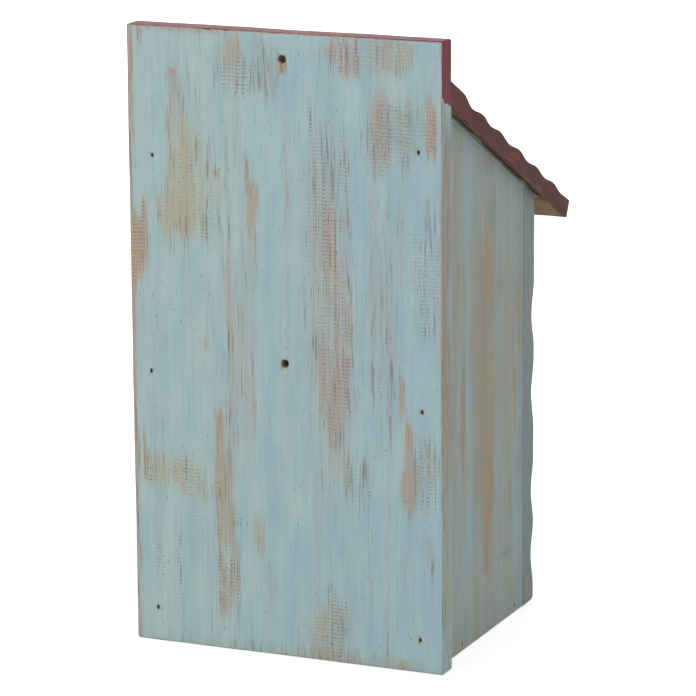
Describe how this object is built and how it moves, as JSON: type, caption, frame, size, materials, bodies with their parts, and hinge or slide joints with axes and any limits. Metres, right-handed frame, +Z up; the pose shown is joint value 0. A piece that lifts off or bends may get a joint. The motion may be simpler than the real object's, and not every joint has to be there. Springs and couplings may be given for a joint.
{
  "type": "nest box",
  "caption": "Wooden nest box for small birds: tall back board with screw holes, sloping roof board, round entrance in the front, and a closed floor, in worn paint.",
  "frame": {"origin": "middle of the overall footprint, on the level the box stands on", "axes": "+Z up, -Y the way the entrance faces, +Y towards the wall the box hangs on, +X to the right as seen from the front"},
  "size_m": [0.16, 0.1654, 0.3],
  "materials": {
    "blue_paint": "worn pale blue-green paint over pine",
    "red_paint": "worn dark red paint over pine",
    "bare_wood": "bare sawn pine"
  },
  "bodies": {
    "root": {"back_panel": "blue_paint", "left_wall": "blue_paint", "right_wall": "blue_paint", "front_wall": "blue_paint", "floor": "bare_wood", "roof": "red_paint"}
  },
  "joints": []
}
